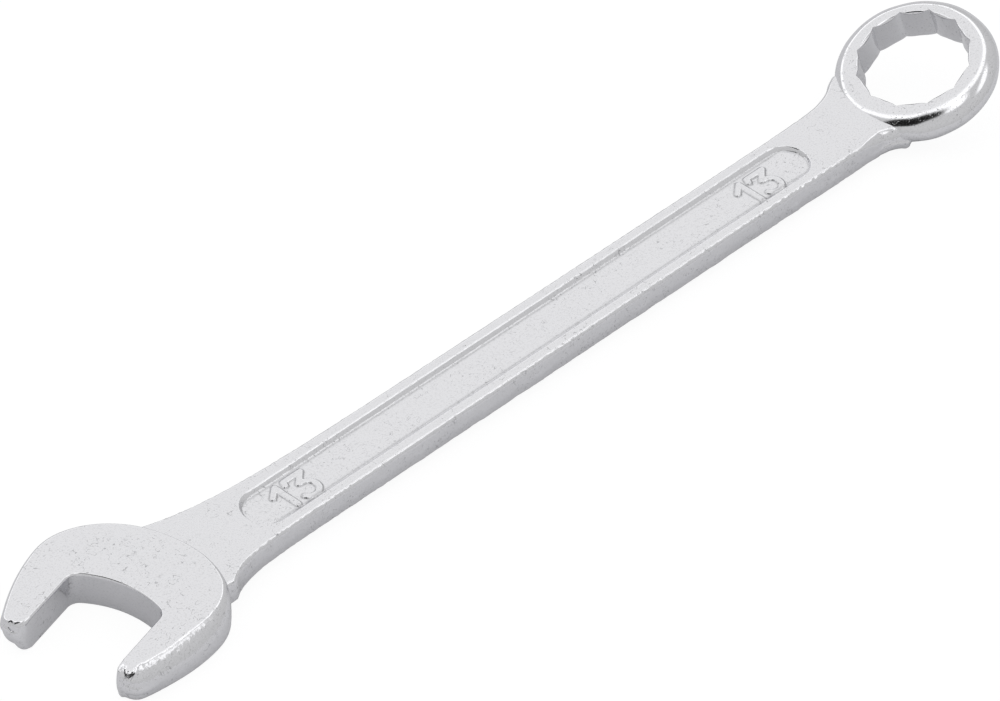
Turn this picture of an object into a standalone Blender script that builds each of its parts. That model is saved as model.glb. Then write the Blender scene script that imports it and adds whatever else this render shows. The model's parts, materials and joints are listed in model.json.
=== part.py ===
"""Combination wrench, 13 mm, lying flat with its open end towards -X.

The forging is modelled as its three working regions: the open-ended head, the panelled shank and
the twelve-point ring head. They meet face to face on two flat planes across the bar.
"""

import math

import bmesh
import bpy
from mathutils import Matrix, Vector

MM = 0.001

# Open-ended head. Distances along it run on the jaws' centre line, from where that line crosses
# the shank's axis, and distances across it are from that line. The near jaw, the one at -Y, is a
# little fuller than the far one.
JAW_OPENING = 13.1 * MM
JAW_ANGLE = math.radians(15.0)
JAW_REACH = 8.5 * MM
TIP_WIDTH = 19.4 * MM
TIP_OUTER_RADIUS = 1.8 * MM
TIP_INNER_RADIUS = 0.8 * MM
THROAT_REACH = 4.3 * MM
THROAT_RADIUS = 13.4 * MM
THROAT_CORNER_RADIUS = 1.7 * MM
SHOULDER_REACH = 4.5 * MM
HEAD_BACK_REACH = 14.4 * MM
FAR_SHOULDER = 13.0 * MM
NEAR_SHOULDER = 13.15 * MM
HEAD_THICKNESS = 5.0 * MM
HEAD_EDGE_RADIUS = 1.3 * MM
JAW_EDGE_RADIUS = 0.3 * MM
FLANK_POWER = 1.85
FAR_BACK_POWER = 2.0
NEAR_BACK_POWER = 2.15

# Shank and necks. The near side of the neck is the one at -Y.
OVERALL_LENGTH = 160.6 * MM
SHANK_WIDTH = 9.9 * MM
SHANK_THICKNESS = 3.4 * MM
SHANK_EDGE_RADIUS = 0.8 * MM
OPEN_NECK_FLARE = 2.7 * MM
OPEN_NECK_LENGTH_NEAR = 8.0 * MM
OPEN_NECK_LENGTH_FAR = 20.0 * MM
OPEN_NECK_STUB = 3.4 * MM
RING_NECK_FLARE = 2.0 * MM
RING_NECK_LENGTH = 9.0 * MM
RING_NECK_REACH = 7.0 * MM
RING_NECK_STUB = 5.6 * MM

# Recessed panel in the top and the bottom of the shank
PANEL_WIDTH = 7.0 * MM
PANEL_DEPTH = 0.5 * MM
PANEL_DRAFT = math.radians(60.0)
PANEL_END_MARGIN_OPEN = 4.4 * MM
PANEL_END_MARGIN_RING = 5.0 * MM

# Ring head. Heights are along the ring's own axis, from the middle of its twelve-point wall.
RING_OPENING = 13.1 * MM
RING_POINTS = 12
RING_DIAMETER = 21.4 * MM
RING_TILT = math.radians(18.5)
RING_CLOCKING = math.radians(-5.0)
RING_TOP = 2.7 * MM
RING_BOTTOM = 3.4 * MM
RING_RIDGE_RADIUS = 7.0 * MM
RING_LEAD_IN = 0.4 * MM

# Bright plating, polished on the heads and left finer on the shank
PLATING_COLOUR = (0.78, 0.78, 0.80)
HEAD_ROUGHNESS = 0.22
SHANK_ROUGHNESS = 0.30

# Fineness of the curves, the angle that counts as an edge, and the largest share of a wall or of
# a straight side that a rounding takes up
CORNER_STEPS = 5
CURVE_STEPS = 14
ROUND_STEPS = 72
EDGE_STEPS = 4
EDGE_ANGLE = math.radians(35.0)
ROUNDING_SHARE = 0.9

HALF_OPENING = JAW_OPENING / 2
HALF_SHANK = SHANK_WIDTH / 2
HALF_SHANK_THICKNESS = SHANK_THICKNESS / 2
REST_PLANE = -HEAD_THICKNESS / 2


def clear_scene():
    for obj in list(bpy.data.objects):
        bpy.data.objects.remove(obj, do_unlink=True)


def plated_steel(name, roughness):
    material = bpy.data.materials.new(name)
    material.use_nodes = True
    shader = material.node_tree.nodes["Principled BSDF"]
    shader.inputs["Base Color"].default_value = (*PLATING_COLOUR, 1.0)
    shader.inputs["Metallic"].default_value = 1.0
    shader.inputs["Roughness"].default_value = roughness
    material.diffuse_color = (*PLATING_COLOUR, 1.0)
    return material


def arc(centre, radius, start, end, steps):
    """Points on a circle from one angle to another, both ends included."""
    angles = [start + (end - start) * step / steps for step in range(steps + 1)]
    return [
        (centre[0] + radius * math.cos(angle), centre[1] + radius * math.sin(angle))
        for angle in angles
    ]


def fillet(before, corner, after, radius, steps):
    """The rounded corner of a path, no larger than its two legs allow."""
    corner = Vector(corner)
    to_before = Vector(before) - corner
    to_after = Vector(after) - corner
    half = to_before.angle(to_after) / 2
    shorter = min(to_before.length, to_after.length)
    reach = min(radius / math.tan(half), ROUNDING_SHARE * shorter)
    radius = reach * math.tan(half)
    start = corner + to_before.normalized() * reach
    bisector = (to_before.normalized() + to_after.normalized()).normalized()
    centre = corner + bisector * (radius / math.sin(half))
    first = start - centre
    sweep = math.pi - 2 * half
    turn = math.copysign(sweep, -to_before.cross(to_after))
    points = []
    for step in range(steps + 1):
        spin = Matrix.Rotation(turn * step / steps, 2)
        points.append(tuple(centre + spin @ first))
    return points


def loft(name, loops):
    """A closed solid skinned over closed loops of as many points each, with flat ends."""
    mesh = bmesh.new()
    rings = [[mesh.verts.new(point) for point in loop] for loop in loops]
    for lower, upper in zip(rings, rings[1:]):
        for index in range(len(lower)):
            after = (index + 1) % len(lower)
            mesh.faces.new((lower[index], lower[after], upper[after], upper[index]))
    mesh.faces.new(reversed(rings[0]))
    mesh.faces.new(rings[-1])
    bmesh.ops.recalc_face_normals(mesh, faces=mesh.faces)
    return finish_mesh(name, mesh)


def finish_mesh(name, mesh):
    data = bpy.data.meshes.new(name)
    mesh.to_mesh(data)
    mesh.free()
    data.shade_smooth()
    data.set_sharp_from_angle(angle=EDGE_ANGLE)
    obj = bpy.data.objects.new(name, data)
    bpy.context.collection.objects.link(obj)
    return obj


def helper(obj):
    """Marks an object that only cuts or joins another."""
    obj.hide_render = True
    obj.display_type = "WIRE"
    return obj


def combine(obj, other, operation):
    modifier = obj.modifiers.new(f"{operation.lower()} {other.name}", "BOOLEAN")
    modifier.operation = operation
    modifier.solver = "EXACT"
    modifier.object = helper(other)


def throat_outline():
    """Half of the throat, from its deepest point to the jaw's straight gripping face."""
    corner = min(THROAT_CORNER_RADIUS, ROUNDING_SHARE * HALF_OPENING)
    base = THROAT_REACH - THROAT_RADIUS
    across = HALF_OPENING - corner
    along = math.sqrt(max((THROAT_RADIUS - corner) ** 2 - across**2, 0.0))
    lean = math.atan2(across, along)
    floor = arc((base, 0.0), THROAT_RADIUS, 0.0, lean, CURVE_STEPS // 2)
    rounding = arc((base + along, across), corner, lean, math.pi / 2, CORNER_STEPS)
    return floor + rounding[1:]


def flank_half_width(along, shoulder):
    """Half-width of a jaw's outer flank, falling off from its shoulder to its tip."""
    share = (SHOULDER_REACH - along) / (SHOULDER_REACH + JAW_REACH)
    return shoulder - (shoulder - TIP_WIDTH / 2) * share**FLANK_POWER


def jaw_outline(shoulder):
    """Half of the outline, from the gripping face round the tip and flank to the shoulder."""
    tip_inner = (-JAW_REACH, HALF_OPENING)
    tip_outer = (-JAW_REACH, TIP_WIDTH / 2)
    face = (0.0, HALF_OPENING)
    flank_start = 2 * TIP_OUTER_RADIUS - JAW_REACH
    flank = []
    for step in range(CURVE_STEPS + 1):
        along = flank_start + (SHOULDER_REACH - flank_start) * step / CURVE_STEPS
        flank.append((along, flank_half_width(along, shoulder)))
    middle = (-JAW_REACH, (HALF_OPENING + TIP_WIDTH / 2 + TIP_INNER_RADIUS - TIP_OUTER_RADIUS) / 2)
    inner = fillet(face, tip_inner, middle, TIP_INNER_RADIUS, CORNER_STEPS)
    outer = fillet(middle, tip_outer, flank[0], TIP_OUTER_RADIUS, CORNER_STEPS)
    return inner + outer + flank


def back_outline(shoulder, power):
    """Half of the rounded back of the head, from the shoulder to the point behind the throat."""
    points = []
    for step in range(1, CURVE_STEPS + 1):
        angle = math.pi / 2 * (1 - step / CURVE_STEPS)
        along = (HEAD_BACK_REACH - SHOULDER_REACH) * math.cos(angle) ** (2 / power)
        across = shoulder * math.sin(angle) ** (2 / power)
        points.append((SHOULDER_REACH + along, across))
    return points


def half_outline(shoulder, back_power):
    return throat_outline() + jaw_outline(shoulder) + back_outline(shoulder, back_power)


def head_outline():
    far = half_outline(FAR_SHOULDER, FAR_BACK_POWER)
    near = half_outline(NEAR_SHOULDER, NEAR_BACK_POWER)
    mirrored = [(along, -across) for along, across in reversed(near[1:-1])]
    return far + mirrored


def rim_radius(along, across):
    """Rounding of the head's rim: small round the throat and along the gripping faces, growing
    over the tips to that of the outer flanks and the back."""
    outer = min(HEAD_EDGE_RADIUS, ROUNDING_SHARE * min(TIP_OUTER_RADIUS, HEAD_THICKNESS / 2))
    inner = min(JAW_EDGE_RADIUS, ROUNDING_SHARE * TIP_INNER_RADIUS)
    if along > THROAT_REACH:
        return outer
    share = (abs(across) - HALF_OPENING) / (TIP_WIDTH / 2 - HALF_OPENING)
    return inner + (outer - inner) * min(1.0, max(0.0, share))


def inward(before, after):
    """Direction into the metal, at the point of the outline that lies between two others."""
    along = (Vector(after) - Vector(before)).normalized()
    return Vector((along.y, -along.x))


def head_plate():
    """The boss of the open end with its jaws: the outline stacked from its underside to its top
    face, and drawn in towards each of them by the rounding of its rims."""
    turn = Matrix.Rotation(JAW_ANGLE, 3, "Z")
    outline = head_outline()
    rising = [math.pi / 2 * step / EDGE_STEPS for step in range(EDGE_STEPS + 1)]
    stack = [(-1, angle) for angle in reversed(rising)] + [(1, angle) for angle in rising]
    loops = []
    for side, angle in stack:
        loop = []
        for index, point in enumerate(outline):
            after = outline[(index + 1) % len(outline)]
            radius = rim_radius(*point)
            drawn_in = Vector(point) + inward(outline[index - 1], after) * radius * (1 - math.cos(angle))
            height = side * (HEAD_THICKNESS / 2 - radius * (1 - math.sin(angle)))
            loop.append(turn @ Vector((*drawn_in, height)))
        loops.append(loop)
    return loft("open_end_head", loops)


def ring_reach(outward, down):
    """How far the ring's lower half reaches from its middle, in a direction in its own frame."""
    across = RING_DIAMETER / 2 - RING_RIDGE_RADIUS
    return RING_RIDGE_RADIUS * outward + math.hypot(across * outward, RING_BOTTOM * down)


def ring_centre_x():
    """The ring's middle, measured back from the end of the wrench."""
    turn = Matrix.Rotation(JAW_ANGLE, 2)
    tip_x = min((turn @ Vector(point)).x for point in head_outline())
    return tip_x + OVERALL_LENGTH - ring_reach(math.cos(RING_TILT), math.sin(RING_TILT))


def ring_frame():
    """The ring's own frame: its axis leans back over the shank and its low side rests level
    with the underside of the open end."""
    height = REST_PLANE + ring_reach(math.sin(RING_TILT), math.cos(RING_TILT))
    place = Matrix.Translation((ring_centre_x(), 0.0, height))
    return place @ Matrix.Rotation(-RING_TILT, 4, "Y")


def open_split():
    return HEAD_BACK_REACH / math.cos(JAW_ANGLE) + OPEN_NECK_STUB


def ring_split():
    return ring_centre_x() - RING_DIAMETER / 2 * math.cos(RING_TILT) - RING_NECK_STUB


def flare(distance, length, height):
    """How far a neck stands out of the shank, at a distance from where it is widest."""
    return height * max(0.0, 1 - distance / length) ** 2


def half_widths(x):
    """Half-widths of the bar on its near and far side, which runs on widening into the head."""
    from_head = x - HEAD_BACK_REACH
    ring_root = ring_centre_x() - RING_NECK_REACH
    at_ring = flare(max(0.0, ring_root - x), RING_NECK_LENGTH, RING_NECK_FLARE)
    near = flare(max(0.0, from_head), OPEN_NECK_LENGTH_NEAR, OPEN_NECK_FLARE)
    far = flare(from_head, OPEN_NECK_LENGTH_FAR, OPEN_NECK_FLARE)
    return HALF_SHANK + near + at_ring, HALF_SHANK + far + at_ring


def bar_section(x):
    """The bar's rounded rectangular section at a place along it."""
    near, far = half_widths(x)
    radius = min(SHANK_EDGE_RADIUS, ROUNDING_SHARE * min(HALF_SHANK_THICKNESS, HALF_SHANK))
    height = HALF_SHANK_THICKNESS - radius
    corners = (
        ((far - radius, height), 0.0),
        ((radius - near, height), math.pi / 2),
        ((radius - near, -height), math.pi),
        ((far - radius, -height), 1.5 * math.pi),
    )
    points = []
    for centre, start in corners:
        points += arc(centre, radius, start, start + math.pi / 2, CORNER_STEPS)
    return [Vector((x, across, up)) for across, up in points]


def bar(name, start, end, steps):
    places = [start + (end - start) * step / steps for step in range(steps + 1)]
    return loft(name, [bar_section(x) for x in places])


def stadium(start, end, half_width, height):
    """A long outline with half-round ends, between two places on the shank."""
    right = arc((end - half_width, 0.0), half_width, -math.pi / 2, math.pi / 2, CURVE_STEPS)
    left = arc((start + half_width, 0.0), half_width, math.pi / 2, 1.5 * math.pi, CURVE_STEPS)
    return [Vector((*point, height)) for point in right + left]


def panel_cutter(name, side):
    """The recess of one panel, with its sloping wall carried on past the surface."""
    start = open_split() + PANEL_END_MARGIN_OPEN
    end = ring_split() - PANEL_END_MARGIN_RING
    run = PANEL_DEPTH * math.tan(PANEL_DRAFT)
    loops = []
    for level in (-1, 1):
        out = run * level
        height = side * (HALF_SHANK_THICKNESS + PANEL_DEPTH * level)
        loops.append(stadium(start - out, end + out, PANEL_WIDTH / 2 + out, height))
    return loft(name, loops)


def ring_profile():
    """Outer half of the ring's section: half an ellipse above its waist and half one below."""
    reach = RING_DIAMETER / 2 - RING_RIDGE_RADIUS
    points = []
    for step in range(2 * CURVE_STEPS + 1):
        angle = math.pi / 2 - math.pi * step / (2 * CURVE_STEPS)
        rise = RING_TOP if angle > 0 else RING_BOTTOM
        points.append((RING_RIDGE_RADIUS + reach * math.cos(angle), rise * math.sin(angle)))
    return points


def round_loop(radius, height):
    """A circle round the ring's axis, its points clear of the corners of the hole."""
    start = RING_CLOCKING + math.pi / ROUND_STEPS
    points = arc((0.0, 0.0), radius, start, start + 2 * math.pi, ROUND_STEPS)[:-1]
    return [Vector((*point, height)) for point in points]


def corner_radius():
    """From the ring's axis to a corner of its twelve-point hole."""
    return RING_OPENING / 2 / math.cos(2 * math.pi / RING_POINTS)


def twelve_point_loop(height):
    """Two hexagons laid over each other: a corner at each point and a notch between two."""
    step_angle = math.pi / RING_POINTS
    notch = RING_OPENING / 2 / math.cos(step_angle)
    points = []
    for step in range(2 * RING_POINTS):
        angle = RING_CLOCKING + step * step_angle
        radius = notch if step % 2 else corner_radius()
        points.append(Vector((radius * math.cos(angle), radius * math.sin(angle), height)))
    return points


def lead_in_cutter(name, side, face):
    """The countersink of the twelve-point hole at one face: a cone that opens outwards."""
    inside = round_loop(corner_radius() - RING_LEAD_IN, side * (face - RING_LEAD_IN))
    outside = round_loop(corner_radius() + RING_LEAD_IN, side * (face + RING_LEAD_IN))
    return loft(name, [inside, outside])


def build_open_end(material):
    head = head_plate()
    root = open_split() - OPEN_NECK_STUB - (HEAD_BACK_REACH - THROAT_REACH) / 2
    stub = bar("open_neck_stub", root, open_split(), CURVE_STEPS)
    combine(head, stub, "UNION")
    head.data.materials.append(material)
    return head


def build_shank(material):
    shank = bar("shank", open_split(), ring_split(), 2 * CURVE_STEPS)
    combine(shank, panel_cutter("top_panel_recess", 1), "DIFFERENCE")
    combine(shank, panel_cutter("bottom_panel_recess", -1), "DIFFERENCE")
    shank.data.materials.append(material)
    return shank


def build_ring_end(material):
    frame = ring_frame()
    ring = loft("ring_end_head", [round_loop(radius, up) for radius, up in ring_profile()])
    ring.data.transform(frame)
    stub = bar("ring_neck_stub", ring_split(), ring_centre_x() - corner_radius(), CURVE_STEPS)
    combine(ring, stub, "UNION")
    height = RING_TOP + RING_BOTTOM
    cutters = (
        loft("twelve_point_hole", [twelve_point_loop(-height), twelve_point_loop(height)]),
        lead_in_cutter("top_lead_in", 1, RING_TOP),
        lead_in_cutter("bottom_lead_in", -1, RING_BOTTOM),
    )
    for cutter in cutters:
        cutter.data.transform(frame)
        combine(ring, cutter, "DIFFERENCE")
    ring.data.materials.append(material)
    return ring


def lowest_centre(pieces):
    """The middle of the whole object's box, on its underside."""
    bpy.context.view_layer.update()
    graph = bpy.context.evaluated_depsgraph_get()
    corners = [Vector(corner) for piece in pieces for corner in piece.evaluated_get(graph).bound_box]
    low = [min(corner[axis] for corner in corners) for axis in range(3)]
    high = [max(corner[axis] for corner in corners) for axis in range(3)]
    return Vector(((low[0] + high[0]) / 2, (low[1] + high[1]) / 2, low[2]))


def main():
    clear_scene()
    pieces = (
        build_open_end(plated_steel("open_end_plating", HEAD_ROUGHNESS)),
        build_shank(plated_steel("shank_plating", SHANK_ROUGHNESS)),
        build_ring_end(plated_steel("ring_end_plating", HEAD_ROUGHNESS)),
    )
    wrench = bpy.data.objects.new("wrench", None)
    bpy.context.collection.objects.link(wrench)
    wrench.location = -lowest_centre(pieces)
    for obj in list(bpy.data.objects):
        if obj is not wrench:
            obj.parent = wrench


main()
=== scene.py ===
"""Looks of a 13 mm combination wrench: a bright-plated forging lying on a white table.

The shapes are worked out in the wrench's own axes, in millimetres: x runs along the shank from the
point where the jaws' centre line crosses it, y across it towards its far side, and z up from its
middle plane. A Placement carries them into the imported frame.
"""

from __future__ import annotations

import json
import logging
import math
from collections.abc import Callable, Mapping
from dataclasses import dataclass
from enum import Enum
from typing import Any

import bmesh
import bpy
import numpy as np
from mathutils import Matrix, Vector

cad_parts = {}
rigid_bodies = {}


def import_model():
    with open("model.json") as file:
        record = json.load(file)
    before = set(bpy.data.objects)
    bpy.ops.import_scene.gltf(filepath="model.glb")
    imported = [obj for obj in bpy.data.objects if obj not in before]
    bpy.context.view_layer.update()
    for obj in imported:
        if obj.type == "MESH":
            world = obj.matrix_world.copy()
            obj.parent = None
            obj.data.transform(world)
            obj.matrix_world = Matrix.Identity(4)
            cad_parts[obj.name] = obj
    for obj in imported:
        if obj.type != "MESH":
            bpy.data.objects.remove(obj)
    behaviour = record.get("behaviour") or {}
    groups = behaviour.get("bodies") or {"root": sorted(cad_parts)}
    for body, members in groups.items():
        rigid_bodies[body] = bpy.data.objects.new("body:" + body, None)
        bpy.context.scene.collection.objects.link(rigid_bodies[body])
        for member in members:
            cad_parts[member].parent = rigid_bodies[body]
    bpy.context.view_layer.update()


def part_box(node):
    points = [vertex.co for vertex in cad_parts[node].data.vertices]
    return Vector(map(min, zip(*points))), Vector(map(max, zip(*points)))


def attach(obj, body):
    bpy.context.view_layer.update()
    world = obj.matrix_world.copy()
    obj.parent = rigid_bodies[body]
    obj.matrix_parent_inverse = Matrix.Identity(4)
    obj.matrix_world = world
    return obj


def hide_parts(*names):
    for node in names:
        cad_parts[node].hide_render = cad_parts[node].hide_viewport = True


LOG = logging.getLogger("wrench")
MM = 0.001
BODY = "root"
SHARP_ANGLE = math.radians(38.0)
MERGE_DISTANCE = 1e-8
TIP_REACH = 10.470
HEAD_HALF_THICKNESS = 2.5
TABLE_DROP = 0.00002
CLEAN_METAL = (0.80, 0.80, 0.82)
# Dark metal for the blister marks and specks, and for the painted shade in the panels' hollows and round the
# numbers.
SHADED_AND_MARKED_METAL = (0.22, 0.22, 0.23)

Array = np.ndarray
Point = tuple[float, float]


class Slot(Enum):
    """Finishes that the record names."""

    HEAD = "head_plating"
    SHANK = "shank_plating"


class Side(Enum):
    """Sides of the wrench, with the sign of y on them."""

    FAR = 1.0
    NEAR = -1.0


def blend(low: float | Array, high: float | Array, value: Array) -> Array:
    """Rises smoothly from 0 to 1 between two values, by 3t^2 - 2t^3.

    Args:
        low: Value at which the rise starts.
        high: Value at which it ends.
        value: Where to read it.

    Returns:
        The share risen at each value.
    """
    share = np.clip((value - low) / (high - low), 0.0, 1.0)
    return share * share * (3.0 - 2.0 * share)


def arc(centre: Point, radius: float, start: float, end: float, steps: int) -> Array:
    """Points on a circle: the centre plus the radius times cosine and sine of the angle.

    Args:
        centre: Centre of the circle.
        radius: Its radius.
        start: First angle, in radians.
        end: Last angle.
        steps: How many chords the arc has.

    Returns:
        One row per point.
    """
    angle = np.linspace(start, end, steps + 1)
    return np.stack((centre[0] + radius * np.cos(angle), centre[1] + radius * np.sin(angle)), axis=1)


def fillet(before: Array, corner: Array, after: Array, radius: float, steps: int) -> Array:
    """Rounded corner of a path: the arc that touches both of its straight sides.

    Args:
        before: A point on the side that comes in.
        corner: The sharp corner.
        after: A point on the side that goes out.
        radius: Radius of the arc.
        steps: How many chords the arc has.

    Returns:
        Points of the arc, one row each.
    """
    back = (before - corner) / np.linalg.norm(before - corner)
    onward = (after - corner) / np.linalg.norm(after - corner)
    half = math.acos(float(back @ onward)) / 2
    middle = back + onward
    centre = corner + middle / np.linalg.norm(middle) * radius / math.sin(half)
    first = corner + back * radius / math.tan(half) - centre
    turn = (math.pi - 2 * half) * (1.0 if back[0] * onward[1] < back[1] * onward[0] else -1.0)
    angle = math.atan2(first[1], first[0])
    return arc(tuple(centre), radius, angle, angle + turn, steps)


def resample(path: Array, count: int) -> Array:
    """Points at equal steps along a path, by its running length.

    Args:
        path: Points of the path, one row each.
        count: How many points to return.

    Returns:
        The new points, both ends included.
    """
    length = np.concatenate(([0.0], np.cumsum(np.linalg.norm(np.diff(path, axis=0), axis=1))))
    place = np.linspace(0.0, length[-1], count)
    return np.stack([np.interp(place, length, path[:, axis]) for axis in range(2)], axis=1)


def distance_to_path(x: Array, y: Array, path: Array) -> Array:
    """Shortest distance from each point to a path of straight pieces.

    For each piece the nearest point is the foot of the perpendicular, held between its two ends.

    Args:
        x: First coordinates of the points.
        y: Second coordinates.
        path: Points of the path, one row each.

    Returns:
        Distances, shaped as x.
    """
    nearest = np.full(np.shape(x), np.inf)
    for start, end in zip(path[:-1], path[1:]):
        along = end - start
        foot = np.clip(((x - start[0]) * along[0] + (y - start[1]) * along[1]) / (along @ along), 0.0, 1.0)
        gap = np.hypot(x - start[0] - foot * along[0], y - start[1] - foot * along[1])
        nearest = np.minimum(nearest, gap)
    return nearest


@dataclass(frozen=True)
class Unevenness:
    """Gentle unevenness of a forged face: the mean of sine waves of many directions and lengths.

    Attributes:
        seed: Seed of the waves' directions, lengths and phases.
        longest: Length of the longest wave, in mm.
        shortest: Length of the shortest wave, in mm.
        height: Height of the unevenness, in mm.
        waves: How many waves are added.
    """

    seed: int
    longest: float
    shortest: float
    height: float
    waves: int = 28

    def at(self, first: Array, second: Array) -> Array:
        """Height over a face, read at two coordinates in mm."""
        random = np.random.default_rng(self.seed)
        direction = random.uniform(0.0, 2 * math.pi, self.waves)
        length = np.exp(random.uniform(math.log(self.shortest), math.log(self.longest), self.waves))
        phase = random.uniform(0.0, 2 * math.pi, self.waves)
        total = np.zeros(np.broadcast(first, second).shape)
        for angle, size, start in zip(direction, length, phase):
            reach = first * math.cos(angle) + second * math.sin(angle)
            total += np.sin(reach * 2 * math.pi / size + start)
        return self.height * total / math.sqrt(self.waves / 2)


@dataclass(frozen=True)
class Dents:
    """Shallow oval dents left by scale in the forging die.

    Attributes:
        seed: Seed of their places and shapes.
        count: How many there are.
        low: Lowest corner of the area they lie in, in mm.
        high: Highest corner of it.
        width: Narrowest and widest half-width, in mm.
        depth: Shallowest and deepest, in mm.
    """

    seed: int
    count: int
    low: Point
    high: Point
    width: Point
    depth: Point

    def at(self, x: Array, y: Array) -> Array:
        """Depth of the dents at points: each is its depth times exp(-d^4), d its oval distance."""
        random = np.random.default_rng(self.seed)
        total = np.zeros(np.shape(x))
        for _ in range(self.count):
            middle = random.uniform(self.low, self.high)
            half = random.uniform(*self.width)
            stretch = random.uniform(1.0, 2.0)
            angle = random.uniform(0.0, math.pi)
            depth = random.uniform(*self.depth)
            along = (x - middle[0]) * math.cos(angle) + (y - middle[1]) * math.sin(angle)
            across = (y - middle[1]) * math.cos(angle) - (x - middle[0]) * math.sin(angle)
            total += depth * np.exp(-(((along / stretch) ** 2 + across**2) / half**2) ** 2)
        return total


@dataclass(frozen=True)
class Placement:
    """Where the wrench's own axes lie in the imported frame.

    Attributes:
        origin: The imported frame's origin in the wrench's own axes, in mm.
    """

    origin: tuple[float, float, float]

    @classmethod
    def from_frame(cls, tip_reach: float, half_thickness: float) -> Placement:
        """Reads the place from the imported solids.

        Args:
            tip_reach: How far the jaws reach from the crossing point, along the shank.
            half_thickness: Half the thickness of the open end.

        Returns:
            The placement of the shapes below.
        """
        head_low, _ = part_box("open_end_head")
        ring_low, ring_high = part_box("ring_end_head")
        axis_y = (ring_low.y + ring_high.y) / 2
        return cls((-tip_reach - head_low.x / MM, -axis_y / MM, -half_thickness - head_low.z / MM))

    def to_frame(self, points: Array) -> Array:
        """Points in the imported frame, in metres."""
        return (points - np.array(self.origin)) * MM


@dataclass
class Skin:
    """A closed surface given as a grid of points, whose sections close on themselves.

    Attributes:
        name: Name of the piece.
        grid: Points in mm, by row along the piece and by column round the section.
        masks: Named values over the grid, which the finish reads.
        wrap_rows: Whether the last row joins the first. Otherwise both ends are filled, which
            leaves nothing to fill where a section has shrunk to a line.
    """

    name: str
    grid: Array
    masks: Mapping[str, Array]
    wrap_rows: bool = False

    def faces(self) -> Array:
        """Corner numbers of the quads between neighbouring rows and columns."""
        rows, columns = self.grid.shape[:2]
        number = np.arange(rows * columns).reshape(rows, columns)
        below = number if self.wrap_rows else number[:-1]
        above = np.roll(number, -1, axis=0) if self.wrap_rows else number[1:]
        corners = (below, np.roll(below, -1, axis=1), np.roll(above, -1, axis=1), above)
        return np.stack(corners, axis=-1).reshape(-1, 4)

    def to_object(self, placement: Placement) -> bpy.types.Object:
        """Makes the mesh, merges the points where the grid closes, and turns its faces outwards.

        Args:
            placement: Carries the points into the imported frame.

        Returns:
            The finished object, at the origin, with its place in its mesh.
        """
        points = placement.to_frame(self.grid.reshape(-1, 3))
        columns = self.grid.shape[1]
        faces = self.faces().tolist()
        if not self.wrap_rows:
            faces += [list(range(columns)), list(range(len(points) - columns, len(points)))]
        mesh = bpy.data.meshes.new(self.name)
        mesh.from_pydata(points.tolist(), [], faces)
        for name, mask in self.masks.items():
            values = np.broadcast_to(mask, self.grid.shape[:2]).reshape(-1).astype(np.float32)
            mesh.attributes.new(name, "FLOAT", "POINT").data.foreach_set("value", values)
        body = bmesh.new()
        body.from_mesh(mesh)
        bmesh.ops.remove_doubles(body, verts=body.verts, dist=MERGE_DISTANCE)
        bmesh.ops.dissolve_degenerate(body, edges=body.edges, dist=MERGE_DISTANCE)
        bmesh.ops.recalc_face_normals(body, faces=body.faces)
        body.to_mesh(mesh)
        body.free()
        mesh.shade_smooth()
        mesh.set_sharp_from_angle(angle=SHARP_ANGLE)
        piece = bpy.data.objects.new(self.name, mesh)
        bpy.context.scene.collection.objects.link(piece)
        return piece


@dataclass
class Value:
    """A value in a shader. Arithmetic on it adds Math nodes.

    Attributes:
        graph: The graph that the value belongs to.
        socket: The output that gives it.
    """

    graph: Graph
    socket: bpy.types.NodeSocket

    def math(self, operation: str, *others: Any) -> Value:
        """The result of a Math node with this value first."""
        return self.graph.value("ShaderNodeMath", {"operation": operation}, dict(enumerate((self, *others))))

    def __add__(self, other: Any) -> Value:
        """This value plus another."""
        return self.math("ADD", other)

    def __radd__(self, other: Any) -> Value:
        """Another value plus this one."""
        return self.math("ADD", other)

    def __mul__(self, other: Any) -> Value:
        """This value times another."""
        return self.math("MULTIPLY", other)

    def __rmul__(self, other: Any) -> Value:
        """Another value times this one."""
        return self.math("MULTIPLY", other)

    def __sub__(self, other: Any) -> Value:
        """This value less another."""
        return self.math("SUBTRACT", other)

    def __rsub__(self, other: Any) -> Value:
        """Another value less this one."""
        return self.math("MULTIPLY", -1.0).math("ADD", other)

    def clamp(self) -> Value:
        """This value held between 0 and 1."""
        return self.math("MAXIMUM", 0.0).math("MINIMUM", 1.0)

    def rise(self, low: float, high: float) -> Value:
        """A smooth step from 0 at one value to 1 at another."""
        return self.graph.value(
            "ShaderNodeMapRange",
            {"interpolation_type": "SMOOTHSTEP"},
            {"Value": self, "From Min": low, "From Max": high},
        )


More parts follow.
